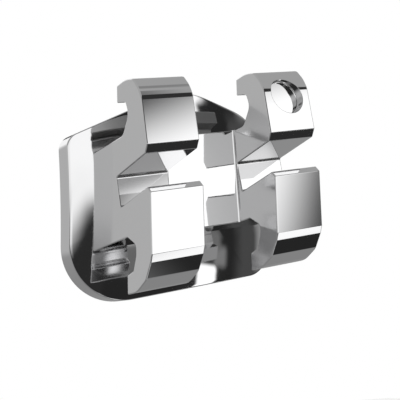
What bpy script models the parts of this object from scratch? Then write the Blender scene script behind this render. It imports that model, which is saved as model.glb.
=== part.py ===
"""A twin orthodontic bracket, moulded from steel powder as one piece.

The origin is the middle of the side that is bonded to the tooth. +X runs along the dental arch,
-Y points away from the tooth, and +Z is the long axis of the tooth, which the sides of the
bracket follow. The archwire slot crosses that axis at the tip angle.
"""

from math import atan2, ceil, cos, pi, radians, sin, sqrt, tan

import bmesh
import bpy
from mathutils import Matrix, Vector

NAME = "bracket"
MM = 0.001

# Angles that the bracket gives to the tooth
TIP = radians(10)  # of the slot, seen from the front
TORQUE = radians(13)  # of the slot, seen from the side

# Archwire slot, 0.018 inch high
SLOT_HEIGHT = 0.457 * MM
SLOT_FLOOR_OUT = 0.93 * MM  # from the bonded side to the middle of the slot floor
SLOT_FLOOR_RADIUS = 0.03 * MM

# Body, and the channel that parts the left pair of wings from the right pair
BODY_WIDTH = 2.967 * MM
PAIR_WIDTH = 0.855 * MM
BODY_TOP = 0.678 * MM  # at the bonded side, from the middle of the slot
BODY_BOTTOM = 0.76 * MM
BODY_LEAN = radians(5.2)
CHANNEL_DEPTH = 0.066 * MM  # below the slot floor
CHANNEL_LEAN = radians(4)
CHANNEL_RADIUS = 0.035 * MM  # where its floor meets the wings

# Upper wings, from the slot round the tip and back to the body: each run and rise is the way
# from one corner of the side view to the next
UPPER_FACE_OUT = 1.751 * MM  # from the bonded side to the lower edge of the face
UPPER_LEAD_IN_RUN = 0.061 * MM
UPPER_LEAD_IN_RISE = 0.12 * MM
UPPER_FACE_LENGTH = 0.678 * MM
UPPER_FACE_LEAN = radians(11)
UPPER_FACE_TOP_RADIUS = 0.25 * MM
UPPER_CHEEK_RUN = 0.084 * MM
UPPER_CHEEK_RISE = 0.158 * MM
UPPER_CHEEK_RADIUS = 0.6 * MM
UPPER_BROW_RUN = 0.144 * MM
UPPER_BROW_RISE = 0.157 * MM
UPPER_BROW_RADIUS = 0.12 * MM
UPPER_CROWN_RUN = 0.226 * MM
UPPER_CROWN_RISE = 0.043 * MM
UPPER_CROWN_RADIUS = 0.6 * MM
UPPER_TIP_RUN = 0.245 * MM
UPPER_TIP_DROP = 0.032 * MM
UPPER_TIP_HEIGHT = 0.246 * MM
UPPER_UNDERCUT_DEPTH = 0.325 * MM
UPPER_UNDERCUT_HEIGHT = 0.244 * MM

# Lower wings, in the same way but downwards
LOWER_FACE_OUT = 1.82 * MM
LOWER_LEAD_IN_RUN = 0.083 * MM
LOWER_LEAD_IN_DROP = 0.078 * MM
LOWER_FACE_LENGTH = 0.821 * MM
LOWER_CHIN_RUN = 0.037 * MM
LOWER_CHIN_DROP = 0.105 * MM
LOWER_BROW_RUN = 0.138 * MM
LOWER_BROW_DROP = 0.225 * MM
LOWER_BROW_RADIUS = 0.15 * MM
LOWER_CROWN_RUN = 0.245 * MM
LOWER_CROWN_DROP = 0.14 * MM
LOWER_CROWN_RADIUS = 0.35 * MM
LOWER_TIP_RUN = 0.25 * MM
LOWER_TIP_DROP = 0.012 * MM
LOWER_TIP_HEIGHT = 0.257 * MM
LOWER_UNDERCUT_DEPTH = 0.247 * MM
LOWER_UNDERCUT_HEIGHT = 0.253 * MM

# Undercuts, which hold the ligature behind the wings
HOOK_ROOT_RUN = 0.08 * MM
HOOK_ROOT_RISE = 0.052 * MM
HOOK_ROOT_RADIUS = 0.06 * MM
UNDERCUT_RADIUS = 0.17 * MM
UPPER_NECK_RUN = 0.17 * MM
UPPER_NECK_RADIUS = 0.12 * MM
LOWER_NECK_RUN = 0.24 * MM
LOWER_NECK_DROP = 0.13 * MM  # from the neck down to the corner before it
LOWER_NECK_RADIUS = 0.1 * MM

# Blind round dimple that marks one wing
DIMPLE_RADIUS = 0.287 * MM
DIMPLE_DEPTH = 0.13 * MM
DIMPLE_RISE = 0.57 * MM  # along the face, from its lower edge

# Bonding base, bowed both ways to follow the tooth. Its shoulders, peak and bottom are measured
# at right angles to the slot, from the slot's middle line.
BASE_HALF_WIDTH = 1.87 * MM  # at the shoulders
BASE_FOOT_HALF_WIDTH = 1.81 * MM
BASE_BOTTOM = 1.545 * MM
BASE_LEFT_SHOULDER = 0.977 * MM
BASE_RIGHT_SHOULDER = 0.86 * MM
BASE_PEAK = 1.603 * MM
BASE_PEAK_OFFSET = 0.058 * MM
BASE_THICKNESS = 0.33 * MM
BASE_BOW_ACROSS = 8.5 * MM
BASE_BOW_UPRIGHT = 10 * MM
BASE_LEFT_FOOT_RADIUS = 0.84 * MM
BASE_RIGHT_FOOT_RADIUS = 0.555 * MM
BASE_LEFT_SHOULDER_RADIUS = 0.25 * MM
BASE_RIGHT_SHOULDER_RADIUS = 0.96 * MM
BASE_PEAK_RADIUS = 1.345 * MM

# Studs on the bonded side, which the adhesive grips
RIM_WIDTH = 0.18 * MM
FIELD_DEPTH = 0.12 * MM
STUD_WIDTH = 0.19 * MM
STUD_PITCH = 0.33 * MM
STUD_MARGIN = 0.06 * MM

EDGE_RADIUS = 0.02 * MM
ARC_STEP = radians(9)  # the longest turn between two points of an arc
ARC_SHARE = 0.45  # the most of a side that the arc at one of its ends takes up
DIMPLE_SIDES = 40
SHARP_EDGE = radians(25)  # an edge that turns more than this is drawn sharp
FACET = 0.24 * MM  # the longest side of a facet of the bowed base
REACH = 4 * MM  # how far a cutter runs past the bracket
BACK_RUN = 1 * MM  # how far the body runs behind the bonded side before that is cut
MERGE = 0.0001 * MM

OUTWARD = Vector((0, -1, 0))
UPWARD = Vector((-sin(TIP), 0, cos(TIP)))  # at right angles to the slot, in the base's plane
SIDE_VIEW = Matrix((OUTWARD, UPWARD, OUTWARD.cross(UPWARD))).transposed().to_4x4()
FRONT_VIEW = Matrix.Rotation(pi / 2, 4, "X")
ALONG_SLOT = Vector((1, 0, tan(TIP)))
ALONG_CHANNEL = Vector((0, sin(CHANNEL_LEAN), cos(CHANNEL_LEAN) / cos(TIP)))
CHANNEL_VIEW = Matrix((ALONG_SLOT, OUTWARD, ALONG_CHANNEL)).transposed().to_4x4()


def clear_scene():
    for old in list(bpy.data.objects):
        bpy.data.objects.remove(old)


def new_collection(name):
    made = bpy.data.collections.new(name)
    bpy.context.scene.collection.children.link(made)
    return made


def new_object(name, work, collection):
    """An object with the mesh that `work` holds."""
    bmesh.ops.recalc_face_normals(work, faces=work.faces)
    data = bpy.data.meshes.new(name)
    work.to_mesh(data)
    work.free()
    made = bpy.data.objects.new(name, data)
    collection.objects.link(made)
    return made


def place(x, up):
    """The height of the point that lies `x` across and `up` above the slot's middle line."""
    return x * tan(TIP) + up / cos(TIP)


def rounded(corners):
    """The outline through corners (x, y, radius), each turned into an arc of that radius."""
    points = []
    for i, (x, y, radius) in enumerate(corners):
        here = Vector((x, y))
        last = Vector(corners[i - 1][:2]) - here
        following = Vector(corners[(i + 1) % len(corners)][:2]) - here
        half = last.angle(following) / 2
        radius = min(radius, ARC_SHARE * min(last.length, following.length) * tan(half))
        if radius == 0:
            points.append(here)
            continue
        inward = (last.normalized() + following.normalized()).normalized()
        middle = here + inward * (radius / sin(half))
        start = here + last.normalized() * (radius / tan(half)) - middle
        turn = pi - 2 * half
        steps = ceil(turn / ARC_STEP)
        if last.cross(following) > 0:
            turn = -turn
        first = atan2(start.y, start.x)
        for step in range(steps + 1):
            angle = first + turn * step / steps
            points.append(middle + radius * Vector((cos(angle), sin(angle))))
    return points


def extruded(name, points, view, collection):
    """The solid of a flat outline that reaches far to both sides of its plane."""
    data = bpy.data.curves.new(name, "CURVE")
    data.dimensions = "2D"
    data.fill_mode = "BOTH"
    data.extrude = REACH
    line = data.splines.new("POLY")
    line.points.add(len(points) - 1)
    for point, (x, y) in zip(line.points, points):
        point.co = (x, y, 0, 1)
    line.use_cyclic_u = True
    curve = bpy.data.objects.new(name, data)
    collection.objects.link(curve)
    graph = bpy.context.evaluated_depsgraph_get()
    mesh = bpy.data.meshes.new_from_object(curve.evaluated_get(graph))
    bpy.data.objects.remove(curve)
    mesh.transform(view)
    work = bmesh.new()
    work.from_mesh(mesh)
    bmesh.ops.remove_doubles(work, verts=work.verts, dist=MERGE)
    return new_object(name, work, collection)


def box(name, low, high, collection):
    """A box between two values of x, far reaching the other ways."""
    work = bmesh.new()
    bmesh.ops.create_cube(work, size=2 * REACH)
    for vert in work.verts:
        vert.co.x = high if vert.co.x > 0 else low
    return new_object(name, work, collection)


def bow(x, z):
    """How far behind its own middle the bonded side lies."""
    across = BASE_BOW_ACROSS - sqrt(BASE_BOW_ACROSS**2 - x * x)
    upright = BASE_BOW_UPRIGHT - sqrt(BASE_BOW_UPRIGHT**2 - z * z)
    return across + upright


def bowed_slab(name, near, collection):
    """Everything that lies more than `near` behind the bonded side."""
    half_width = BASE_HALF_WIDTH + FACET
    half_height = place(BASE_HALF_WIDTH, BASE_PEAK) + FACET
    work = bmesh.new()
    bmesh.ops.create_grid(
        work,
        x_segments=ceil(2 * half_width / FACET),
        y_segments=ceil(2 * half_height / FACET),
        size=1,
        matrix=FRONT_VIEW @ Matrix.Diagonal((half_width, half_height, 1, 1)),
    )
    for vert in work.verts:
        vert.co.y = near + bow(vert.co.x, vert.co.z)
    for item in bmesh.ops.extrude_face_region(work, geom=work.faces[:])["geom"]:
        if isinstance(item, bmesh.types.BMVert):
            item.co.y = REACH
    return new_object(name, work, collection)


def combine(target, other, operation):
    """Joins the other object to this one, cuts it away, or keeps only what they share."""
    modifier = target.modifiers.new(operation.lower(), "BOOLEAN")
    modifier.operation = operation
    modifier.solver = "EXACT"
    modifier.object = other


def slot_corner(side):
    """Where the slot floor meets the upper wall (side 1) or the lower wall (side -1)."""
    half = side * SLOT_HEIGHT / 2
    return Vector((SLOT_FLOOR_OUT - half * sin(TORQUE), half * cos(TORQUE)))


def slot_wall(side, out):
    """How high a wall of the slot lies at that distance from the bonded side."""
    corner = slot_corner(side)
    return corner.y + (out - corner.x) * tan(TORQUE)


def upper_face_low():
    """The height of the lower edge of the upper face."""
    return slot_wall(1, UPPER_FACE_OUT - UPPER_LEAD_IN_RUN) + UPPER_LEAD_IN_RISE


def upper_wing():
    """Corners (out, up, radius) from the slot floor up, round the tip and down to the body."""
    wall = UPPER_FACE_OUT - UPPER_LEAD_IN_RUN
    face_low = upper_face_low()
    face_top = face_low + UPPER_FACE_LENGTH * cos(UPPER_FACE_LEAN)
    face_top_out = UPPER_FACE_OUT - UPPER_FACE_LENGTH * sin(UPPER_FACE_LEAN)
    cheek = face_top_out - UPPER_CHEEK_RUN
    cheek_up = face_top + UPPER_CHEEK_RISE
    brow = cheek - UPPER_BROW_RUN
    brow_up = cheek_up + UPPER_BROW_RISE
    crown = brow - UPPER_CROWN_RUN
    crown_up = brow_up + UPPER_CROWN_RISE
    tip = crown - UPPER_TIP_RUN
    tip_top = crown_up - UPPER_TIP_DROP
    tip_bottom = tip_top - UPPER_TIP_HEIGHT
    undercut = tip + UPPER_UNDERCUT_DEPTH
    neck = undercut - UPPER_NECK_RUN
    return [
        (*slot_corner(1), SLOT_FLOOR_RADIUS),
        (wall, slot_wall(1, wall), EDGE_RADIUS),
        (UPPER_FACE_OUT, face_low, EDGE_RADIUS),
        (face_top_out, face_top, UPPER_FACE_TOP_RADIUS),
        (cheek, cheek_up, UPPER_CHEEK_RADIUS),
        (brow, brow_up, UPPER_BROW_RADIUS),
        (crown, crown_up, UPPER_CROWN_RADIUS),
        (tip, tip_top, EDGE_RADIUS),
        (tip, tip_bottom, EDGE_RADIUS),
        (undercut - HOOK_ROOT_RUN, tip_bottom - HOOK_ROOT_RISE, HOOK_ROOT_RADIUS),
        (undercut, tip_bottom - UPPER_UNDERCUT_HEIGHT, UNDERCUT_RADIUS),
        (neck, BODY_TOP + neck * tan(BODY_LEAN), UPPER_NECK_RADIUS),
        (-BACK_RUN, BODY_TOP - BACK_RUN * tan(BODY_LEAN), 0),
    ]


def lower_wing():
    """Corners (out, up, radius) from the slot floor down, round the tip and up to the body."""
    wall = LOWER_FACE_OUT - LOWER_LEAD_IN_RUN
    face_top = slot_wall(-1, wall) - LOWER_LEAD_IN_DROP
    face_low = face_top - LOWER_FACE_LENGTH
    chin = LOWER_FACE_OUT - LOWER_CHIN_RUN
    chin_up = face_low - LOWER_CHIN_DROP
    brow = chin - LOWER_BROW_RUN
    brow_up = chin_up - LOWER_BROW_DROP
    crown = brow - LOWER_CROWN_RUN
    crown_up = brow_up - LOWER_CROWN_DROP
    tip = crown - LOWER_TIP_RUN
    tip_bottom = crown_up - LOWER_TIP_DROP
    tip_top = tip_bottom + LOWER_TIP_HEIGHT
    undercut = tip + LOWER_UNDERCUT_DEPTH
    neck = undercut - LOWER_NECK_RUN
    neck_up = neck * tan(BODY_LEAN) - BODY_BOTTOM
    return [
        (*slot_corner(-1), SLOT_FLOOR_RADIUS),
        (wall, slot_wall(-1, wall), EDGE_RADIUS),
        (LOWER_FACE_OUT, face_top, EDGE_RADIUS),
        (LOWER_FACE_OUT, face_low, EDGE_RADIUS),
        (chin, chin_up, EDGE_RADIUS),
        (brow, brow_up, LOWER_BROW_RADIUS),
        (crown, crown_up, LOWER_CROWN_RADIUS),
        (tip, tip_bottom, EDGE_RADIUS),
        (tip, tip_top, EDGE_RADIUS),
        (undercut - HOOK_ROOT_RUN, tip_top + HOOK_ROOT_RISE, HOOK_ROOT_RADIUS),
        (undercut, tip_top + LOWER_UNDERCUT_HEIGHT, UNDERCUT_RADIUS),
        (undercut, neck_up - LOWER_NECK_DROP, LOWER_NECK_RADIUS),
        (neck, neck_up, EDGE_RADIUS),
        (-BACK_RUN, -BACK_RUN * tan(BODY_LEAN) - BODY_BOTTOM, 0),
    ]


def wing_block(collection, cutters):
    """Body and wings: one extrusion along the slot, its sides and its channel cut."""
    corners = upper_wing() + lower_wing()[::-1]
    block = extruded(NAME, rounded(corners), SIDE_VIEW, collection)
    combine(block, box("sides", -BODY_WIDTH / 2, BODY_WIDTH / 2, cutters), "INTERSECT")
    combine(block, channel(cutters), "DIFFERENCE")
    return block


def channel(collection):
    """What is cut away between the left and the right pair of wings: a trough along its floor."""
    half_gap = BODY_WIDTH / 2 - PAIR_WIDTH
    floor = SLOT_FLOOR_OUT - CHANNEL_DEPTH
    corners = [
        (-half_gap, floor, CHANNEL_RADIUS),
        (half_gap, floor, CHANNEL_RADIUS),
        (half_gap, REACH, 0),
        (-half_gap, REACH, 0),
    ]
    return extruded("channel", rounded(corners), CHANNEL_VIEW, collection)


def dimple(collection):
    """A cylinder square to the upper face, in the middle of the right wing's width."""
    out = UPPER_FACE_OUT - DIMPLE_RISE * sin(UPPER_FACE_LEAN)
    up = upper_face_low() + DIMPLE_RISE * cos(UPPER_FACE_LEAN)
    x = (BODY_WIDTH - PAIR_WIDTH) / 2
    axis = OUTWARD * cos(UPPER_FACE_LEAN) + UPWARD * sin(UPPER_FACE_LEAN)
    turn = axis.to_track_quat("Z", "Y").to_matrix().to_4x4()
    face = Matrix.Translation((x, -out, place(x, up))) @ turn
    length = 2 * DIMPLE_DEPTH
    work = bmesh.new()
    bmesh.ops.create_cone(
        work,
        cap_ends=True,
        segments=DIMPLE_SIDES,
        radius1=DIMPLE_RADIUS,
        radius2=DIMPLE_RADIUS,
        depth=length,
        matrix=face @ Matrix.Translation((0, 0, length / 2 - DIMPLE_DEPTH)),
    )
    return new_object("dimple", work, collection)


def base_outline(inset):
    """The base seen from the front: upright sides, a foot along the slot, a peaked top."""
    corners = [
        (-BASE_FOOT_HALF_WIDTH, -BASE_BOTTOM, BASE_LEFT_FOOT_RADIUS),
        (BASE_FOOT_HALF_WIDTH, -BASE_BOTTOM, BASE_RIGHT_FOOT_RADIUS),
        (BASE_HALF_WIDTH, BASE_RIGHT_SHOULDER, BASE_RIGHT_SHOULDER_RADIUS),
        (BASE_PEAK_OFFSET, BASE_PEAK, BASE_PEAK_RADIUS),
        (-BASE_HALF_WIDTH, BASE_LEFT_SHOULDER, BASE_LEFT_SHOULDER_RADIUS),
    ]
    ends = [Vector((x, place(x, up))) for x, up, radius in corners]
    moved = []
    for i, here in enumerate(ends):
        last = (ends[i - 1] - here).normalized()
        following = (ends[(i + 1) % len(ends)] - here).normalized()
        inner = here + (last + following) * (inset / sin(last.angle(following)))
        moved.append((*inner, max(corners[i][2] - inset, 0)))
    return rounded(moved)


def studs(collection):
    """Square studs in rows along the slot, each clear of the rim."""
    half = STUD_WIDTH / 2
    inner = base_outline(RIM_WIDTH + STUD_MARGIN)
    work = bmesh.new()
    count = ceil(BASE_HALF_WIDTH / STUD_PITCH)
    for column in range(-count, count + 1):
        for row in range(-count, count + 1):
            x = column * STUD_PITCH
            z = place(x, row * STUD_PITCH)
            ends = [(x + i * half, z + j * half) for i in (-1, 1) for j in (-1, 1)]
            if not all(inside(end, inner) for end in ends):
                continue
            size = Matrix.Diagonal((STUD_WIDTH, REACH, STUD_WIDTH, 1))
            bmesh.ops.create_cube(work, size=1, matrix=Matrix.Translation((x, 0, z)) @ size)
    return new_object("studs", work, collection)


def inside(point, outline):
    """Whether a point lies within an outline, by counting the sides to its right."""
    x, y = point
    crossings = 0
    for (x1, y1), (x2, y2) in zip(outline, outline[1:] + outline[:1]):
        if (y1 > y) != (y2 > y) and x < x1 + (y - y1) * (x2 - x1) / (y2 - y1):
            crossings += 1
    return crossings % 2 == 1


def base(collection):
    """The bowed plate, still solid behind the bonded side."""
    plate = extruded("plate", base_outline(0), FRONT_VIEW, collection)
    combine(plate, bowed_slab("front of plate", -BASE_THICKNESS, collection), "INTERSECT")
    return plate


def retention_field(collection):
    """What is sunk into the bonded side round the studs."""
    field = extruded("retention field", base_outline(RIM_WIDTH), FRONT_VIEW, collection)
    combine(field, bowed_slab("floor of field", -FIELD_DEPTH, collection), "INTERSECT")
    combine(field, studs(collection), "DIFFERENCE")
    return field


def steel():
    made = bpy.data.materials.new("polished steel")
    made.use_nodes = True
    shader = made.node_tree.nodes["Principled BSDF"]
    shader.inputs["Base Color"].default_value = (0.62, 0.62, 0.63, 1)
    shader.inputs["Metallic"].default_value = 1
    shader.inputs["Roughness"].default_value = 0.08
    return made


def shade_smooth(target):
    """Smooth shading between facets, with the real edges left sharp."""
    group = bpy.data.node_groups.new("smooth by angle", "GeometryNodeTree")
    for way in ("INPUT", "OUTPUT"):
        group.interface.new_socket("Geometry", in_out=way, socket_type="NodeSocketGeometry")
    start = group.nodes.new("NodeGroupInput")
    faces = group.nodes.new("GeometryNodeSetShadeSmooth")
    edges = group.nodes.new("GeometryNodeSetShadeSmooth")
    edges.domain = "EDGE"
    edges.inputs["Shade Smooth"].default_value = False
    turn = group.nodes.new("GeometryNodeInputMeshEdgeAngle")
    sharp = group.nodes.new("FunctionNodeCompare")
    sharp.inputs["B"].default_value = SHARP_EDGE
    end = group.nodes.new("NodeGroupOutput")
    group.links.new(start.outputs["Geometry"], faces.inputs["Geometry"])
    group.links.new(faces.outputs["Geometry"], edges.inputs["Geometry"])
    group.links.new(turn.outputs["Unsigned Angle"], sharp.inputs["A"])
    group.links.new(sharp.outputs["Result"], edges.inputs["Selection"])
    group.links.new(edges.outputs["Geometry"], end.inputs["Geometry"])
    modifier = target.modifiers.new("smooth by angle", "NODES")
    modifier.node_group = group


def main():
    clear_scene()
    parts = new_collection(NAME)
    cutters = new_collection("cutters")
    bracket = wing_block(parts, cutters)
    combine(bracket, dimple(cutters), "DIFFERENCE")
    combine(bracket, base(cutters), "UNION")
    combine(bracket, bowed_slab("tooth", 0, cutters), "DIFFERENCE")
    combine(bracket, retention_field(cutters), "DIFFERENCE")
    shade_smooth(bracket)
    for cutter in cutters.objects:
        cutter.hide_render = True
        cutter.display_type = "WIRE"
    bracket.data.materials.append(steel())


main()
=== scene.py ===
# %% [markdown]
# # A twin orthodontic bracket in polished steel
# The bracket is one piece of steel, moulded from metal powder, sintered and then tumbled until it
# mirrors whatever stands round it. Three things make such a picture work: corners that are rounded
# by the right few hundredths of a millimetre, flat faces whose mirror image stays straight, and a
# studio with large soft lights and dark gaps for the steel to show. The cells below build them in
# that order.

import math

import bmesh
import bpy
import numpy as np
from mathutils import Matrix, Vector


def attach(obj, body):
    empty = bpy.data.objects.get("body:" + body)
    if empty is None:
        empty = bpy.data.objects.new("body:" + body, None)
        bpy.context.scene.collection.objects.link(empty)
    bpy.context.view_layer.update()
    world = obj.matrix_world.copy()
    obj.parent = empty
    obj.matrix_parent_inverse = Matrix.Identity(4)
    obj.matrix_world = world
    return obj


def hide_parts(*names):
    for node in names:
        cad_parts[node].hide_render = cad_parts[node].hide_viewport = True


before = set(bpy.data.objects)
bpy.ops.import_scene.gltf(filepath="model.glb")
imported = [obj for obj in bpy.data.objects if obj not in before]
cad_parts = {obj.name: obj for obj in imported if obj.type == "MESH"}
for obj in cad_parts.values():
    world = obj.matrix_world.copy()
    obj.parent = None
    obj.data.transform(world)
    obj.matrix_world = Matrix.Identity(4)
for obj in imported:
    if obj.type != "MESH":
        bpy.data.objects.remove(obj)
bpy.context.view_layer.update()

# %% [markdown]
# ## Sizes
# All lengths are in millimetres while the surfaces are being worked out, and the finished mesh is
# scaled to metres once. Working near 1 keeps well away from the smallest steps that Blender's
# tools can tell apart. Points are described as a maker would: `x` along the dental arch, `out` from
# the tooth, and `up` at right angles to the slot, which crosses the bracket at the tip angle.

# %% Named sizes
TIP = math.radians(10)
TORQUE = math.radians(13)
BODY_LEAN = math.radians(5.2)

SLOT_HEIGHT = 0.457
SLOT_FLOOR_OUT = 0.93
SLOT_FLOOR_RADIUS = 0.03
BODY_WIDTH = 2.967
PAIR_WIDTH = 0.855
BODY_TOP = 0.678
BODY_BOTTOM = 0.76
CHANNEL_DEPTH = 0.066
CHANNEL_LEAN = math.radians(4)
EDGE = 0.02
ROOT_OUT = 0.11
ARC_SHARE = 0.45  # the most of a side that the arc at one of its ends takes up


def height(x, up):
    """World z of a point: x * tan(tip) + up / cos(tip), because the slot rises to the right."""
    return x * math.tan(TIP) + up / math.cos(TIP)


print("slot height", SLOT_HEIGHT, "mm, tip", round(math.degrees(TIP)), "degrees")

# %% [markdown]
# ## An outline with rounded corners
# The whole side view of the wings is a polygon whose corners are arcs, so one function serves all
# of it. Bezier handles could draw the same line, but a polygon with radii is how a toolmaker
# dimensions it, and it hands out something that a drawn line doesn't: the exact direction in which
# the surface faces at each point. That direction is what moves a point inwards when the side edges
# are rounded.

# %% Rounded outline


def rounded_outline(corners, step=math.radians(4)):
    """Points and outward normals of an anticlockwise outline through corners (x, y, radius).

    An arc starts radius * tan(turn / 2) before its corner. Its centre lies one radius inside the
    outline, or outside where the outline turns the other way. Its normal swings evenly from the
    normal of one side to that of the next, and each point is the centre plus radius * normal.
    """
    corners = np.asarray(corners, float)
    point, radius = corners[:, :2], corners[:, 2]
    side = np.roll(point, -1, 0) - point
    length = np.hypot(side[:, 0], side[:, 1])
    ahead = side / length[:, None]
    behind = np.roll(ahead, 1, 0)
    cross = behind[:, 0] * ahead[:, 1] - behind[:, 1] * ahead[:, 0]
    turn = np.arctan2(cross, (behind * ahead).sum(1))
    bend = np.tan(np.abs(turn) / 2)
    reach = np.minimum(radius * bend, ARC_SHARE * np.minimum(length, np.roll(length, 1)))
    signed = np.sign(turn) * reach / bend
    count = np.ceil(np.abs(turn) / step).astype(int) + 1
    corner = np.repeat(np.arange(len(corners)), count)
    first = np.cumsum(count) - count
    share = (np.arange(count.sum()) - first[corner]) / (count[corner] - 1)
    facing = np.stack([behind[:, 1], -behind[:, 0]], 1)
    heading = np.arctan2(facing[:, 1], facing[:, 0])[corner] + turn[corner] * share
    normal = np.stack([np.cos(heading), np.sin(heading)], 1)
    centre = point - behind * reach[:, None] - facing * signed[:, None]
    return centre[corner] + normal * signed[corner, None], normal


square = [(0, 0, 0.1), (1, 0, 0.1), (1, 1, 0.1), (0, 1, 0.1)]
print("a square with round corners has", len(rounded_outline(square)[0]), "points")

# %% [markdown]
# ## Side view of the wings
# Seen along the slot, the bracket is a C for the wire with a hook above and below it for the
# ligature. Each size is the way from one corner to the next, as on a drawing, so that a change to
# one of them moves everything after it. The sizes come from points picked in the photograph.
# The main corners, both widths and the angles start from the least squares fit that gave the camera.

# %% Corners of the wings


def slot_corner(side):
    """Where the slot floor meets the upper wall (side 1) or the lower one (side -1)."""
    half = side * SLOT_HEIGHT / 2
    return SLOT_FLOOR_OUT - half * math.sin(TORQUE), half * math.cos(TORQUE)


def slot_wall(side, out):
    """Height of a slot wall at a distance from the tooth: the corner plus run * tan(torque)."""
    corner = slot_corner(side)
    return corner[1] + (out - corner[0]) * math.tan(TORQUE)


def walk(start, steps):
    """Corners reached from a start by adding up steps (run, rise, radius)."""
    steps = np.asarray(steps, float)
    places = np.cumsum(np.vstack([start, steps[:, :2]]), axis=0)[1:]
    return np.hstack([places, steps[:, 2:]])


UPPER_FACE_OUT = 1.751
UPPER_LEAD_IN_RUN = 0.061
UPPER_FACE_LENGTH = 0.678
UPPER_FACE_LEAN = math.radians(11)
UPPER_UNDERCUT = 0.325
LOWER_FACE_OUT = 1.82
LOWER_LEAD_IN_RUN = 0.083
LOWER_UNDERCUT = 0.247
HOOK_ROOT_RUN = 0.08
HOOK_ROOT_RISE = 0.052
HOOK_ROOT_RADIUS = 0.06
UNDERCUT_RADIUS = 0.17
UPPER_NECK_RUN = 0.17
LOWER_NECK_RUN = 0.24
LOWER_NECK_DROP = 0.13

face_run = UPPER_FACE_LENGTH * math.sin(UPPER_FACE_LEAN)
face_rise = UPPER_FACE_LENGTH * math.cos(UPPER_FACE_LEAN)
upper_mouth_out = UPPER_FACE_OUT - UPPER_LEAD_IN_RUN
upper_mouth = (upper_mouth_out, slot_wall(1, upper_mouth_out))
upper = walk(
    upper_mouth,
    [
        (0, 0, EDGE),  # mouth of the slot
        (UPPER_LEAD_IN_RUN, 0.12, EDGE),  # slanted lead-in
        (-face_run, face_rise, 0.25),  # face
        (-0.084, 0.158, 0.6),  # cheek
        (-0.144, 0.157, 0.12),  # brow
        (-0.226, 0.043, 0.6),  # crown
        (-0.245, -0.032, EDGE),  # fall of the crown to the tip
        (0, -0.246, EDGE),  # tip
        (UPPER_UNDERCUT - HOOK_ROOT_RUN, -HOOK_ROOT_RISE, HOOK_ROOT_RADIUS),  # underside
        (HOOK_ROOT_RUN, HOOK_ROOT_RISE - 0.244, UNDERCUT_RADIUS),  # bottom of the undercut
    ],
)
lower_mouth_out = LOWER_FACE_OUT - LOWER_LEAD_IN_RUN
lower_mouth = (lower_mouth_out, slot_wall(-1, lower_mouth_out))
lower = walk(
    lower_mouth,
    [
        (0, 0, EDGE),  # mouth of the slot
        (LOWER_LEAD_IN_RUN, -0.078, EDGE),  # slanted lead-in
        (0, -0.821, EDGE),  # face
        (-0.037, -0.105, EDGE),  # chin
        (-0.138, -0.225, 0.15),  # brow
        (-0.245, -0.14, 0.35),  # crown
        (-0.25, -0.012, EDGE),  # fall of the crown to the tip
        (0, 0.257, EDGE),  # tip
        (LOWER_UNDERCUT - HOOK_ROOT_RUN, HOOK_ROOT_RISE, HOOK_ROOT_RADIUS),  # underside
        (HOOK_ROOT_RUN, 0.253 - HOOK_ROOT_RISE, UNDERCUT_RADIUS),  # bottom of the undercut
    ],
)


def body_edge(out, at_tooth):
    """Height of the body's top or bottom, which both rise away from the tooth."""
    return at_tooth + out * math.tan(BODY_LEAN)


upper_neck = upper[-1, 0] - UPPER_NECK_RUN
lower_neck = lower[-1, 0] - LOWER_NECK_RUN
lower_neck_up = body_edge(lower_neck, -BODY_BOTTOM)
wing_corners = np.vstack(
    [
        [(*slot_corner(1), SLOT_FLOOR_RADIUS)],
        upper,
        [(upper_neck, body_edge(upper_neck, BODY_TOP), 0.12)],
        [(ROOT_OUT, body_edge(ROOT_OUT, BODY_TOP), 0.03)],
        [(ROOT_OUT, body_edge(ROOT_OUT, -BODY_BOTTOM), 0.03)],
        [(lower_neck, lower_neck_up, EDGE)],
        [(lower[-1, 0], lower_neck_up - LOWER_NECK_DROP, 0.1)],
        lower[::-1],
        [(*slot_corner(-1), SLOT_FLOOR_RADIUS)],
    ]
)
wing_line, wing_facing = rounded_outline(wing_corners)
print("side view:", len(wing_corners), "corners,", len(wing_line), "points")

# %% [markdown]
# ## Carrying the outline along the slot
# A wing pair is that outline carried along the slot. At both ends the outline shrinks while it
# travels the last two hundredths of a millimetre, along a quarter of a circle. That gives the side
# edges their rounding, and on mirror-bright steel this rounding is the thin bright line by which
# the eye reads an edge. A Bevel modifier would do it too, but here every row is known in advance,
# so the rounding can't fail where three edges meet.

# %% Mesh from rows of points


def mesh_from_rows(name, rows):
    """A closed mesh from an array (rows, columns, 3): the columns run round, ends are faces.

    Quad (r, c) joins points (r, c), (r, c+1), (r+1, c+1) and (r+1, c), with c counted round.
    """
    count, across = rows.shape[:2]
    index = np.arange(count * across).reshape(count, across)
    ahead = np.roll(index, -1, 1)
    quads = np.stack([index[:-1], ahead[:-1], ahead[1:], index[1:]], -1).reshape(-1, 4)
    ends = [index[0, ::-1].tolist(), index[-1].tolist()]
    mesh = bpy.data.meshes.new(name)
    mesh.from_pydata(rows.reshape(-1, 3), [], quads.tolist() + ends)
    work = bmesh.new()
    work.from_mesh(mesh)
    bmesh.ops.remove_doubles(work, verts=work.verts, dist=1e-5)
    bmesh.ops.recalc_face_normals(work, faces=work.faces)
    if work.calc_volume(signed=True) < 0:
        bmesh.ops.reverse_faces(work, faces=work.faces)
    work.to_mesh(mesh)
    work.free()
    made = bpy.data.objects.new(name, mesh)
    bpy.context.scene.collection.objects.link(made)
    print(name, "has", len(mesh.vertices), "points")
    return made


# %% Wing pairs


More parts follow.
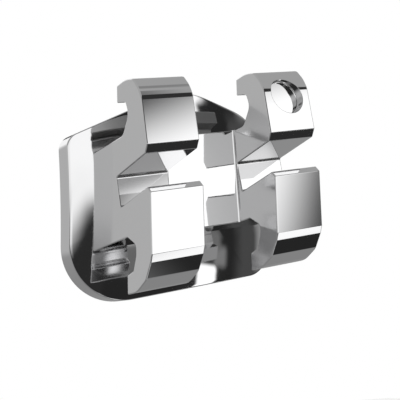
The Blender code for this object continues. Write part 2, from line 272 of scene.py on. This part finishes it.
def carried(name, line, facing, left, right, edge, steps=4):
    """The outline carried from x = left to x = right, its ends rounded by a quarter circle.

    At angle a of the quarter circle the outline lies edge * (1 - cos a) from the end, and has
    shrunk by edge * (1 - sin a) along its own normals.
    """
    angle = np.linspace(0, math.pi / 2, steps + 1)
    run, shrink = edge * (1 - np.cos(angle)), edge * (1 - np.sin(angle))
    x = np.concatenate([left + run, (right - run)[::-1]])
    inset = np.concatenate([shrink, shrink[::-1]])
    out, up = np.moveaxis(line - facing * inset[:, None, None], -1, 0)
    x = np.broadcast_to(x[:, None], out.shape)
    return mesh_from_rows(name, np.stack([x, -out, height(x, up)], -1))


SIDE_EDGE = 0.018
half_gap = BODY_WIDTH / 2 - PAIR_WIDTH
left_pair = carried("left_pair", wing_line, wing_facing, -BODY_WIDTH / 2, -half_gap, SIDE_EDGE)
right_pair = carried("right_pair", wing_line, wing_facing, half_gap, BODY_WIDTH / 2, SIDE_EDGE)

# %% [markdown]
# ## The body between the pairs
# The channel between the two pairs is a little deeper than the slot floor and leans the other way.
# What remains there of the body is a plain block. It reaches into both pairs, a thousandth of a
# millimetre below their surface, so that the join has no two faces in the same plane.

# %% Body between the pairs
channel_floor = SLOT_FLOOR_OUT - CHANNEL_DEPTH


def channel_corner(at_tooth):
    """Where the channel floor meets the body's top or bottom, found from both straight lines."""
    steep = 1 / math.tan(CHANNEL_LEAN)
    out = (channel_floor * steep - at_tooth) / (math.tan(BODY_LEAN) + steep)
    return out, body_edge(out, at_tooth)


SKIN = 0.001
top, bottom = channel_corner(BODY_TOP - SKIN), channel_corner(SKIN - BODY_BOTTOM)
block_root = ROOT_OUT + 0.04
block_line, block_facing = rounded_outline(
    [
        (*bottom, EDGE),
        (*top, EDGE),
        (block_root, body_edge(block_root, BODY_TOP - SKIN), 0.03),
        (block_root, body_edge(block_root, SKIN - BODY_BOTTOM), 0.03),
    ]
)
overlap = PAIR_WIDTH / 4
block_end = half_gap + overlap
block = carried("channel_block", block_line, block_facing, -block_end, block_end, EDGE)
print("channel floor", round(channel_floor, 3), "mm from the tooth")

# %% [markdown]
# ## Fillets of the channel
# No moulding tool leaves a knife-sharp inner corner. Along both sides of the channel floor runs a
# concave fillet, which shows as a thin line that is light on one side and dark on the other. Each
# one is a prism with a hollow face. It is carried along the channel, and then trimmed to the side
# view of the wings, because it must not stand up into the slot.

# %% Fillets of the channel
CHANNEL_RADIUS = 0.035
FILLET_BACKING = 0.08
FILLET_BACK_OUT = 0.7


def fillet(side):
    """A prism whose hollow face is a quarter circle that touches channel floor and wing side.

    With the circle's centre one radius away from both, its points are centre + radius * (cos a,
    sin a) for a from -90 to 0 degrees. It is sunk by the skin's thickness, to overlap them.
    """
    angle = np.linspace(-math.pi / 2, 0, 8)
    away = CHANNEL_RADIUS - SKIN / 2
    middle = np.array([half_gap - away, channel_floor + away])
    hollow = middle + CHANNEL_RADIUS * np.stack([np.cos(angle), np.sin(angle)], 1)
    wing_x = hollow[-1, 0] + FILLET_BACKING
    behind = [(wing_x, hollow[-1, 1]), (wing_x, FILLET_BACK_OUT), (hollow[0, 0], FILLET_BACK_OUT)]
    x, out = np.vstack([hollow, behind]).T
    up = np.array([-1.0, 1.0])[:, None]
    rows = [side * x + 0 * up, up * math.tan(CHANNEL_LEAN) - out, height(side * x, up)]
    return mesh_from_rows("fillet", np.stack(rows, -1))


trim_line = wing_line - wing_facing * SKIN
fillets = [fillet(side) for side in (-1, 1)]
trims = [carried("trim", trim_line, wing_facing, -block_end, block_end, EDGE / 2) for piece in fillets]

# %% [markdown]
# ## Bonding base
# The plate behind the body follows the tooth, so both of its sides are bowed across and upright.
# It is worked out as rings: each ring is the plate's outline moved inwards by some amount and
# placed at some depth, and the bow is added last, to all of them. Rings over the front, round the
# rim, across the bonded side and down into the field between the studs make the whole plate one
# closed surface. Near its left and right ends the front runs back a little more than the bow alone
# would take it, as a tumbled edge does. On a mirror those 3 degrees decide what the plate shows.
# The five corners of the outline closely follow a least squares fit to points that were read along
# the plate's edge in the photograph.

# %% Outline of the base
BASE_THICKNESS = 0.33
RIM_WIDTH = 0.18
FIELD_DEPTH = 0.12
BASE_EDGE = 0.015
base_corners = [
    (-1.81, -1.545, 0.84),  # left foot
    (1.81, -1.545, 0.555),  # right foot
    (1.87, 0.86, 0.96),  # right shoulder
    (0.058, 1.603, 1.345),  # peak
    (-1.87, 0.977, 0.25),  # left shoulder
]
BOW_ACROSS = 8.5
BOW_UPRIGHT = 10
ROLL_OFF_START = 1.35
ROLL_OFF_SLOPE = 0.055
ROLL_OFF_BLEND = 0.05
LONGEST_GAP = 0.12


def bow(x, z):
    """How far the base curves back: radius - sqrt(radius squared - distance squared), both ways."""
    across = BOW_ACROSS - np.sqrt(BOW_ACROSS**2 - x * x)
    return across + BOW_UPRIGHT - np.sqrt(BOW_UPRIGHT**2 - z * z)


def roll_off(x):
    """How much further the front alone runs back near its two ends.

    With u = |x| - start it is slope / 2 * (u + sqrt(u squared + blend squared)): nothing near the
    middle, and the whole slope, about 3 degrees, at the ends.
    """
    beyond = np.abs(x) - ROLL_OFF_START
    return ROLL_OFF_SLOPE / 2 * (beyond + np.sqrt(beyond**2 + ROLL_OFF_BLEND**2))


def base_outline(inset):
    """The outline (x, z) moved inwards: each corner slides to where its two moved sides meet."""
    corners = np.array(base_corners)
    corners[:, 1] = height(corners[:, 0], corners[:, 1])
    point = corners[:, :2]
    last = np.roll(point, 1, 0) - point
    following = np.roll(point, -1, 0) - point
    last /= np.hypot(last[:, 0], last[:, 1])[:, None]
    following /= np.hypot(following[:, 0], following[:, 1])[:, None]
    spread = np.abs(last[:, 0] * following[:, 1] - last[:, 1] * following[:, 0])
    corners[:, :2] += (last + following) * (inset / spread)[:, None]
    corners[:, 2] = np.maximum(corners[:, 2] - inset, 0.001)
    return rounded_outline(corners, math.radians(3))[0]


whole = base_outline(0)
gaps = np.hypot(*(np.roll(whole, -1, 0) - whole).T)
pieces_per_gap = np.ceil(gaps / LONGEST_GAP).astype(int)


def ring(inset, depth, scale=1.0):
    """One ring of the plate: outline, scaled towards its middle, `depth` in front of the tooth."""
    line = base_outline(inset)
    step = np.roll(line, -1, 0) - line
    gap = np.repeat(np.arange(len(line)), pieces_per_gap)
    place = np.arange(len(gap)) - (np.cumsum(pieces_per_gap) - pieces_per_gap)[gap]
    share = place / pieces_per_gap[gap]
    x, z = (line[gap] + step[gap] * share[:, None]).T * scale
    y = bow(x, z) - depth + roll_off(x) * (depth / BASE_THICKNESS)
    return np.stack([x, y, z], -1)


# %% Rings of the base
quarter = np.linspace(0, math.pi / 2, 5)
inner = [0.02, 0.08, 0.16, 0.24, 0.32, 0.4, 0.48, 0.56, 0.64, 0.72, 0.8, 0.87, 0.93, 0.98]
rings = [ring(BASE_EDGE, BASE_THICKNESS, s) for s in inner]
from_side, from_end = BASE_EDGE * (1 - np.sin(quarter)), BASE_EDGE * (1 - np.cos(quarter))
rings += [ring(side, BASE_THICKNESS - end) for side, end in zip(from_side, from_end)]
rings += [ring(end, side) for side, end in zip(from_side, from_end)]
rings += [ring(RIM_WIDTH * s, 0) for s in (0.4, 0.7, 1)]
rings += [ring(RIM_WIDTH, FIELD_DEPTH, s) for s in [1, *inner[::-1]]]
plate = mesh_from_rows("base_plate", np.array(rings))
print("the plate is", len(rings), "rings of", len(rings[0]), "points")

# %% [markdown]
# ## Studs
# The adhesive grips rows of small square studs that stand in the field and end level with the rim.
# One stud is worked out once, and numpy adds its points to all the places at the same time. A stud
# is only kept where its four corners lie clear of the rim.

# %% Rows of studs
STUD_WIDTH = 0.19
STUD_PITCH = 0.33
STUD_MARGIN = 0.06


def inside(points, outline):
    """Whether points lie in an outline: a ray to the right crosses its sides an odd number of times."""
    x, y = points[..., 0, None], points[..., 1, None]
    (x1, y1), (x2, y2) = outline.T, np.roll(outline, -1, 0).T
    meets = (y1 > y) != (y2 > y)
    crossing = x1 + (y - y1) * (x2 - x1) / np.where(y2 == y1, 1, y2 - y1)
    return (meets & (x < crossing)).sum(-1) % 2 == 1


count = np.arange(-8, 9)
column, row = np.meshgrid(count, count)
middle = np.stack([column * STUD_PITCH, height(column * STUD_PITCH, row * STUD_PITCH)], -1).reshape(-1, 2)
square = np.array([(-1, -1), (1, -1), (1, 1), (-1, 1)]) * STUD_WIDTH / 2
kept = inside(middle[:, None] + square, base_outline(RIM_WIDTH + STUD_MARGIN)).all(1)
middle = middle[kept]

stud_corners = [(x, z, 0.03) for x, z in square]
stud_line, stud_facing = rounded_outline(stud_corners, math.radians(23))
stud_inset = np.array([0, 0, 0.004, 0.012])
stud_depth = np.array([FIELD_DEPTH + 0.05, 0.012, 0.004, 0])
stud = stud_line - stud_facing * stud_inset[:, None, None]
flat = middle[:, None, None] + stud
stud_x, stud_z = flat[..., 0], flat[..., 1]
rows = np.stack([stud_x, bow(stud_x, stud_z) - stud_depth[:, None], stud_z], -1)


def mesh_of_copies(name, rows):
    """One mesh from an array (copies, rows, columns, 3): the faces of one copy, index shifted."""
    copies, count, across = rows.shape[:3]
    index = np.arange(count * across).reshape(count, across)
    ahead = np.roll(index, -1, 1)
    quads = np.stack([index[:-1], index[1:], ahead[1:], ahead[:-1]], -1).reshape(-1, 4)
    shift = np.arange(copies)[:, None, None] * count * across
    faces = (quads + shift).reshape(-1, 4).tolist()
    faces += (index[0] + shift[:, 0]).tolist() + (index[-1, ::-1] + shift[:, 0]).tolist()
    mesh = bpy.data.meshes.new(name)
    mesh.from_pydata(rows.reshape(-1, 3), [], faces)
    work = bmesh.new()
    work.from_mesh(mesh)
    bmesh.ops.recalc_face_normals(work, faces=work.faces)
    work.to_mesh(mesh)
    work.free()
    made = bpy.data.objects.new(name, mesh)
    bpy.context.scene.collection.objects.link(made)
    return made


stud_field = mesh_of_copies("studs", rows)
print(len(middle), "studs")

# %% [markdown]
# ## Dimple
# One wing carries a round blind dimple that tells the tooth it belongs to. Its cutter is a turned
# profile: flat bottom, a small fillet, the wall, and a lip that opens by a quarter circle, so that
# the cut leaves a rounded rim and no knife edge.

# %% Dimple cutter
DIMPLE_RADIUS = 0.287
DIMPLE_DEPTH = 0.13
DIMPLE_RISE = 0.57
FILLET = 0.02
LIP = 0.012


def turned(name, profile, matrix, sides=128):
    """A profile (radius, height) turned round its axis: x = r cos a, y = r sin a, z = height."""
    angle = np.linspace(0, 2 * math.pi, sides, endpoint=False)
    radius, level = np.asarray(profile).T[:, :, None]
    rows = np.stack([radius * np.cos(angle), radius * np.sin(angle), level + 0 * angle], -1)
    made = mesh_from_rows(name, rows)
    made.data.transform(matrix)
    return made


face_low = upper[1]
dimple_out = face_low[0] - DIMPLE_RISE * math.sin(UPPER_FACE_LEAN)
dimple_up = face_low[1] + DIMPLE_RISE * math.cos(UPPER_FACE_LEAN)
dimple_x = (BODY_WIDTH - PAIR_WIDTH) / 2
upward = Vector((-math.sin(TIP), 0, math.cos(TIP)))
axis = Vector((0, -1, 0)) * math.cos(UPPER_FACE_LEAN) + upward * math.sin(UPPER_FACE_LEAN)
seat = Matrix.Translation((dimple_x, -dimple_out, height(dimple_x, dimple_up)))
seat = seat @ axis.to_track_quat("Z", "Y").to_matrix().to_4x4()
arc = np.linspace(0, math.pi / 2, 6)
rise = 1 - np.cos(arc)
floor_arc = [DIMPLE_RADIUS - FILLET + FILLET * np.sin(arc), FILLET * rise - DIMPLE_DEPTH]
lip_arc = [DIMPLE_RADIUS + LIP * rise, LIP * np.sin(arc) - LIP]
profile = [*np.transpose(floor_arc), *np.transpose(lip_arc)]
profile += [(DIMPLE_RADIUS + LIP, 0.3)]
cutter = turned("dimple_cutter", profile, seat)

# %% [markdown]
# ## One piece
# The parts become one closed skin with exact Booleans, because the real bracket is one piece and
# has no seam where a wing meets the base. Afterwards the shading is settled. A plain smooth
# shading would bend the mirror image near every rounded edge, since a corner's normal is shared
# between a large flat face and a narrow round one. Weighted normals give the large face the say.

# %% Join the parts


def combined(target, other, operation):
    """The target after one exact Boolean with the other object, which is then removed."""
    modifier = target.modifiers.new(operation, "BOOLEAN")
    modifier.operation = operation
    modifier.solver = "EXACT"
    modifier.object = other
    return settled(target, other)


def settled(target, *used_up):
    """The target with its modifiers turned into its mesh."""
    graph = bpy.context.evaluated_depsgraph_get()
    mesh = bpy.data.meshes.new_from_object(target.evaluated_get(graph))
    target.modifiers.clear()
    target.data = mesh
    for other in used_up:
        bpy.data.objects.remove(other)
    return target


fillets = [combined(piece, trim, "INTERSECT") for piece, trim in zip(fillets, trims)]
for piece in fillets:
    block = combined(block, piece, "UNION")
steel = combined(left_pair, block, "UNION")
steel = combined(steel, right_pair, "UNION")
steel = combined(steel, cutter, "DIFFERENCE")
plate = combined(plate, stud_field, "UNION")
steel = combined(steel, plate, "UNION")
steel.name = "polished_bracket"
print("one skin with", len(steel.data.polygons), "faces")

# %% Shading and scale
work = bmesh.new()
work.from_mesh(steel.data)
bmesh.ops.remove_doubles(work, verts=work.verts, dist=2e-5)
bmesh.ops.dissolve_degenerate(work, dist=1e-5, edges=work.edges)
work.to_mesh(steel.data)
open_edges = sum(not edge.is_manifold for edge in work.edges)
print("open edges:", open_edges, "volume, cubic mm:", round(work.calc_volume(), 3))
work.free()
steel.data.shade_smooth()
steel.data.set_sharp_from_angle(angle=math.radians(32))
weighted = steel.modifiers.new("weighted", "WEIGHTED_NORMAL")
weighted.mode = "FACE_AREA"
weighted.weight = 100
weighted.keep_sharp = True
steel = settled(steel)
steel.data.transform(Matrix.Scale(0.001, 4))
print("piece, mm:", [round(1000 * s, 3) for s in steel.dimensions])

# %% [markdown]
# ## Shader arithmetic
# Node trees read best as sums. This small class wraps a socket, so that `a * b + 1` adds the nodes
# that work it out, and one method adds any other node by its type.

# %% Sockets that calculate


class Sum:
    """A node socket that can be added, multiplied and so on, with numbers on either side."""

    def __init__(self, tree, socket):
        self.tree, self.socket = tree, socket

    def node(self, kind, settings=None, out=0, **inputs):
        """Adds a node: settings are its properties, inputs are values or other sums.

        An input is given by its name, with _ for a space, or by its number as i0, i1 and so on.
        """
        made = self.tree.nodes.new(kind)
        for key, value in (settings or {}).items():
            setattr(made, key, value)
        for key, value in inputs.items():
            numbered = key[0] == "i" and key[1:].isdigit()
            slot = made.inputs[int(key[1:]) if numbered else key.replace("_", " ")]
            if isinstance(value, Sum):
                self.tree.links.new(value.socket, slot)
            else:
                slot.default_value = value
        return Sum(self.tree, made.outputs[out])

    def math(self, operation, other=0.0, first=None):
        """Adds a Math node on this value and another one, which stands second unless it is first."""
        left, right = (self, other) if first is None else (first, self)
        return self.node("ShaderNodeMath", {"operation": operation}, i0=left, i1=right)

    def __add__(self, other):
        return self.math("ADD", other)

    def __sub__(self, other):
        return self.math("SUBTRACT", other)

    def __rsub__(self, other):
        return self.math("SUBTRACT", first=other)

    def __mul__(self, other):
        return self.math("MULTIPLY", other)

    def __truediv__(self, other):
        return self.math("DIVIDE", other)

    __radd__, __rmul__ = __add__, __mul__

    def ramp(self, start, end):
        """0 below start, 1 above end, and a smooth step between."""
        settings = {"interpolation_type": "SMOOTHSTEP"}
        return self.node("ShaderNodeMapRange", settings, Value=self, From_Min=start, From_Max=end)

    def blend(self, other, share):
        """This value, faded to another one where share is 1."""
        if isinstance(other, Sum):
            return self + (other - self) * share
        return self * (1 - share) + share * other


print("ready:", Sum.__doc__)

# %% [markdown]
# ## Where the surface is blasted
# The bonded side isn't polished: it is blasted to a matt grey, so that adhesive sticks to it. The
# finish could be painted on by hand, but each face knows how deep it lies behind the front, so a
# comparison finds the rim, the field and the studs, and the mesh stores the answer for the shader.

# %% Blasted faces
SKIM = 0.004
MARGIN = 0.01
mesh = steel.data
centre = np.empty(3 * len(mesh.polygons))
mesh.polygons.foreach_get("center", centre)
centre = centre.reshape(-1, 3) * 1000
depth = bow(centre[:, 0], centre[:, 2]) - centre[:, 1]
in_field = inside(centre[:, [0, 2]], base_outline(RIM_WIDTH - MARGIN))
blasted = ((depth < SKIM) | (in_field & (depth < FIELD_DEPTH + MARGIN))).astype(float)
mesh.attributes.new("blasted", "FLOAT", "FACE").data.foreach_set("value", blasted)
print(int(blasted.sum()), "faces are blasted")

# %% [markdown]
# ## Where the tumbling stones hardly reach, and where shade is painted
# Tumbling polishes what the stones can strike. Under the wings, on the walls of the undercuts and
# on the end faces they only graze the steel, which keeps a softer gloss there. The undercuts of the
# upper wings, the deeper ones, are taken as the dullest, and they also get a darker base colour,
# which is painted shade: the photograph shows dark, soft shapes beside them, and a mirror there
# would throw light back and forth between wing and plate.

# %% Sheltered faces
facing = np.empty(3 * len(mesh.polygons))
mesh.polygons.foreach_get("normal", facing)
facing = facing.reshape(-1, 3)
from_tooth = -centre[:, 1]
sideways = np.abs(facing[:, 0])
end_face = sideways > 0.95
ceiling = facing[:, 1] > 0.1
flank = (np.abs(facing[:, 2]) > 0.5) & (from_tooth < SLOT_FLOOR_OUT - MARGIN)
undercut = (sideways < 0.5) & (ceiling | flank)
clear_of_plate = from_tooth > BASE_THICKNESS + MARGIN
masks = {
    "sheltered": clear_of_plate & (end_face | undercut),
    # painted shade: these upper undercut faces also get a darker base colour in the steel below
    "dull_and_painted_shade": clear_of_plate & undercut & (centre[:, 2] > 0),
}
for name, mask in masks.items():
    mesh.attributes.new(name, "FLOAT", "FACE").data.foreach_set("value", mask.astype(float))
    print(int(mask.sum()), "faces are", name)

# %% [markdown]
# ## Tumbled steel
# One material holds all four finishes. Where the stones strike it is a mirror whose gloss wanders a
# little between two close values, as real tumbling leaves it. The stored masks fade this roughness
# to the softer, the dull and the blasted one in turn. On the dull faces the base colour is also
# darkened, which is painted shade. A fine bump gives the blasted side its grain.

# %% Steel
STEEL = (0.88, 0.88, 0.885, 1)
# painted shade: the darker base colour of the dull upper undercuts
PAINTED_SHADE_STEEL = (0.4, 0.4, 0.4, 1)
MIRROR, UNEVENNESS = 0.035, 0.015
SOFTER_GLOSS = 0.12
DULL = 0.3
BLASTED, GRAIN = 0.38, 0.1

finish = bpy.data.materials.new("tumbled_steel")
finish.use_nodes = True
tree = finish.node_tree
shader = tree.nodes["Principled BSDF"]
shader.inputs["Metallic"].default_value = 1
start = Sum(tree, None)
spot = start.node("ShaderNodeTexCoord", out=3)
cloud = start.node("ShaderNodeTexNoise", Vector=spot, Scale=1500.0, Detail=3.0)
grain = start.node("ShaderNodeTexNoise", Vector=spot, Scale=40000.0, Detail=2.0)
matt, under, dull_and_painted_shade = (
    start.node("ShaderNodeAttribute", {"attribute_name": name}, out=2)
    for name in ("blasted", "sheltered", "dull_and_painted_shade")
)
# the base colour darkens to painted shade on the dull upper undercuts
tone = start.node("ShaderNodeMix", {"data_type": "RGBA"}, out=2, i0=dull_and_painted_shade, i6=STEEL, i7=PAINTED_SHADE_STEEL)
tree.links.new(tone.socket, shader.inputs["Base Color"])
polished = (cloud * UNEVENNESS + MIRROR).blend(SOFTER_GLOSS, under).blend(DULL, dull_and_painted_shade)
roughness = polished.blend(grain * GRAIN + BLASTED, matt)
tree.links.new(roughness.socket, shader.inputs["Roughness"])
relief = start.node("ShaderNodeBump", Height=grain * matt, Distance=2e-6, Strength=0.5)
tree.links.new(relief.socket, shader.inputs["Normal"])
mesh.materials.clear()
mesh.materials.append(finish)

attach(steel, "root")
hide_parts("bracket")
print("material:", finish.name)

# %% [markdown]
# ## Studio
# A mirror has no look of its own. What it shows is a studio: pale walls on the left and behind, a
# broad light in front, a tall softbox to the right with a flag at its edge, dark gaps round them,
# a dark table below and a grey ceiling. Real lamps and flags stand a metre or more away, which is
# so far for a part of 4 mm that only their direction counts. So each is a rounded window in azimuth
# and elevation, laid over the ones before it like paper cut-outs. The camera itself sees plain
# white, and so does the floor.

# %% One window of light
WINDOW_VALUES = ["value", "across", "up", "width", "height", "radius", "soft", "turn"]


def window_group():
    """Node group that lays one rounded window over the light that comes in.

    Width and height are half sizes, and all but the value is in degrees.

    With the window's centre as origin and after its turn, q = |p| - (half size - radius). The
    distance from the rounded outline is length(max(q, 0)) + min(max(qx, qy), 0) - radius, and the
    share of the window falls smoothly from 1 to 0 while this distance crosses its soft edge.
    """
    group = bpy.data.node_groups.new("studio_window", "ShaderNodeTree")
    names = ["light", "azimuth", "elevation", *WINDOW_VALUES]
    for name in names:
        group.interface.new_socket(name, in_out="INPUT", socket_type="NodeSocketFloat")
    group.interface.new_socket("light", in_out="OUTPUT", socket_type="NodeSocketFloat")
    entry = group.nodes.new("NodeGroupInput")
    given = {name: Sum(group, entry.outputs[name]) for name in names}
    turn = given["turn"] * (math.pi / 180)
    cosine, sine = turn.math("COSINE"), turn.math("SINE")
    across = (given["azimuth"] - given["across"] + 180).math("FLOORED_MODULO", 360.0) - 180
    upright = given["elevation"] - given["up"]
    along = across * cosine + upright * sine
    aside = upright * cosine - across * sine
    radius = given["radius"]
    qx = along.math("ABSOLUTE") - given["width"] + radius
    qy = aside.math("ABSOLUTE") - given["height"] + radius
    squares = [q.math("MAXIMUM").math("POWER", 2.0) for q in (qx, qy)]
    corner = (squares[0] + squares[1]).math("SQRT")
    distance = corner + qx.math("MAXIMUM", qy).math("MINIMUM") - radius
    share = (0.5 - distance / given["soft"]).ramp(0, 1)
    result = given["light"] + (given["value"] - given["light"]) * share
    end = group.nodes.new("NodeGroupOutput")
    group.links.new(result.socket, end.inputs["light"])
    return group


window = window_group()
print("a window is", len(window.nodes), "nodes")

# %% [markdown]
# ## Lights and flags
# Each flat face of the bracket mirrors only a few degrees of the studio. To place a light, work out
# which way a face sends the camera's view, and set a window there: white where the face gleams,
# black where it is dark, with an edge as soft as the fade across the face. Later windows cover
# earlier ones, so the big walls mostly come first. All values are listed one by one and were moved
# with the photograph beside the render.

# %% Lights and flags
# value, azimuth, elevation, half width, half height, corner radius, soft edge, turn
windows = {
    "pale wall on the left": (0.5, -75, 12, 66, 12, 5, 12, 0),
    "wall behind on the left": (0.45, -148, 10, 12, 14, 5, 8, 0),
    "white wall behind": (1, 182, 26, 18, 26, 10, 10, 0),
    "ceiling": (0.37, 95, 62, 52, 10, 8, 6, 0),
    "duller part of the ceiling": (0.24, 74, 67, 10, 4, 3, 6, 0),
    "dark at the lower right": (0.02, 62, -24, 40, 19, 10, 6, 0),
    "dark table below": (0.025, 8, -15, 52, 20, 12, 6, 0),
    "dark above": (0.02, 10, 38, 42, 17, 10, 6, 0),
    "dark between the lights": (0.02, 20, 10, 12, 40, 5, 5, 0),
    "dark right of the softbox": (0.02, 48, 8, 8, 20, 3, 5, 0),
    "front light, left part": (1.05, -20, 12, 12, 9, 5, 5, 0),
    "front light": (1.05, 1, 17, 9, 10, 4, 7, 0),
    "tail of the front light": (1, -5, 4, 3, 10, 3, 6, -25),
    "softbox": (1.2, 33, 17, 8, 18, 3, 5, -16),
    "pale gap between the lights": (1, 18, 6, 9, 9, 3, 6, 0),
    "dark grey wall on the right": (0.065, 56, 6, 6, 18, 3, 5, 0),
    "grey block under the softbox": (0.2, 44, -4, 2, 2, 1, 2, 0),
    "black flag at the softbox's edge": (0.02, 46, 23, 4.5, 4.5, 1, 2, 0),
    "grey shelf under the softbox": (0.35, 32, -3.3, 5, 4, 0.5, 1, 0),
    "pale sheet on the shelf": (0.9, 38, 2, 2, 2, 1, 2, 0),
    "end of the shelf": (0.15, 42, -1, 2, 2, 1, 2, 0),
    "grey foot of the gap": (0.14, 17, -7, 4, 3, 2, 2, 0),
    "grey patch at the lower right": (0.28, 60, -22, 3, 3, 2, 2, 0),
    "low strip": (1.2, 40, -11, 3, 5, 1, 1, 0),
    "low slanted strip": (1.1, 47, -23, 8, 2, 2, 3, 40),
    "low front patch": (1.1, 3, -26, 4, 6, 3, 4, 0),
    "patch near the floor": (1.1, 20, -55, 18, 6, 5, 6, -40),
    "dark behind, low": (0.02, 172, -11, 8, 6, 3, 6, 0),
    "dark behind, high": (0.02, 162, 24, 8, 6, 5, 6, 0),
    "dark at the right back": (0.02, 135, 25, 6, 6, 3, 6, 0),
    "dark over the softbox": (0.03, 38, 46.5, 15, 13.5, 5, 5, 8),
    "grey floor at the right": (0.25, 105, -45, 35, 12, 8, 8, 0),
}
print(len(windows), "lights, walls and flags")

# %% World
world = bpy.data.worlds.new("studio")
bpy.context.scene.world = world
world.use_nodes = True
tree = world.node_tree
sky = Sum(tree, None)
direction = sky.node("ShaderNodeTexCoord", out=0)
split = sky.node("ShaderNodeSeparateXYZ", Vector=direction)
x, y, z = (Sum(tree, socket) for socket in split.socket.node.outputs)
azimuth = x.math("ARCTAN2", y * -1) * (180 / math.pi)
elevation = z.math("ARCSINE") * (180 / math.pi)
ROOM_BELOW, ROOM_LEVEL, ROOM_ABOVE = 0.2, 0.3, 0.4
light = elevation.ramp(-60, 0) * (ROOM_LEVEL - ROOM_BELOW) + ROOM_BELOW
light = light + elevation.ramp(0, 60) * (ROOM_ABOVE - ROOM_LEVEL)
toward = {"azimuth": azimuth, "elevation": elevation}
for row in windows.values():
    values = dict(zip(WINDOW_VALUES, row))
    light = sky.node("ShaderNodeGroup", {"node_tree": window}, light=light, **toward, **values)
glossy = sky.node("ShaderNodeLightPath", out=3)
studio = sky.node("ShaderNodeBackground", Color=light)
plain = sky.node("ShaderNodeBackground", Color=(1, 1, 1, 1))
mixed = sky.node("ShaderNodeMixShader", i0=glossy, i1=plain, i2=studio)
tree.links.new(mixed.socket, tree.nodes["World Output"].inputs["Surface"])
world.cycles.sampling_method = "NONE"
print("world:", len(tree.nodes), "nodes")

# %% [markdown]
# ## Floor
# A plain pale sheet lies 20 mm below the middle of the bonded side. The steel doesn't mirror it,
# because the studio's own windows already say what lies below.

# %% Floor
bpy.ops.mesh.primitive_plane_add(size=0.4, location=(0, 0, -0.02))
floor = bpy.context.object
floor.name = "floor"
floor.visible_glossy = False
pale = bpy.data.materials.new("pale_floor")
pale.use_nodes = True
pale_shader = pale.node_tree.nodes["Principled BSDF"]
pale_shader.inputs["Base Color"].default_value = (0.95, 0.95, 0.95, 1)
pale_shader.inputs["Roughness"].default_value = 0.9
floor.data.materials.append(pale)
print("floor:", floor.name)

# %% [markdown]
# ## Camera
# The camera stands to the left of the bracket and a little below it, and looks slightly up. Its
# lens is long, so the slot's edges stay nearly parallel. Its place, angles and lens were solved by
# least squares from corners picked one by one, since the wings' edges are parallel on the real part.

# %% Camera
CAMERA_PLACE = Vector((-7.7484, -12.4555, -2.4093))
HEADING = math.radians(33.5386)
PITCH = math.radians(8.7289)
ROLL = math.radians(-1.6186)

camera = bpy.data.objects.new("camera", bpy.data.cameras.new("camera"))
bpy.context.scene.collection.objects.link(camera)
bpy.context.scene.camera = camera
aim = Matrix.Rotation(-HEADING, 3, "Z") @ Matrix.Rotation(math.pi / 2 + PITCH, 3, "X")
aim = aim @ Matrix.Rotation(ROLL, 3, "Z")
camera.matrix_world = Matrix.LocRotScale(CAMERA_PLACE / 1000, aim, None)
camera.data.lens = 84.72
camera.data.sensor_width = 36
camera.data.clip_start = 0.0005
camera.data.clip_end = 2
bpy.context.scene.view_settings.view_transform = "Standard"
print("camera stands", round(CAMERA_PLACE.length, 2), "mm away")
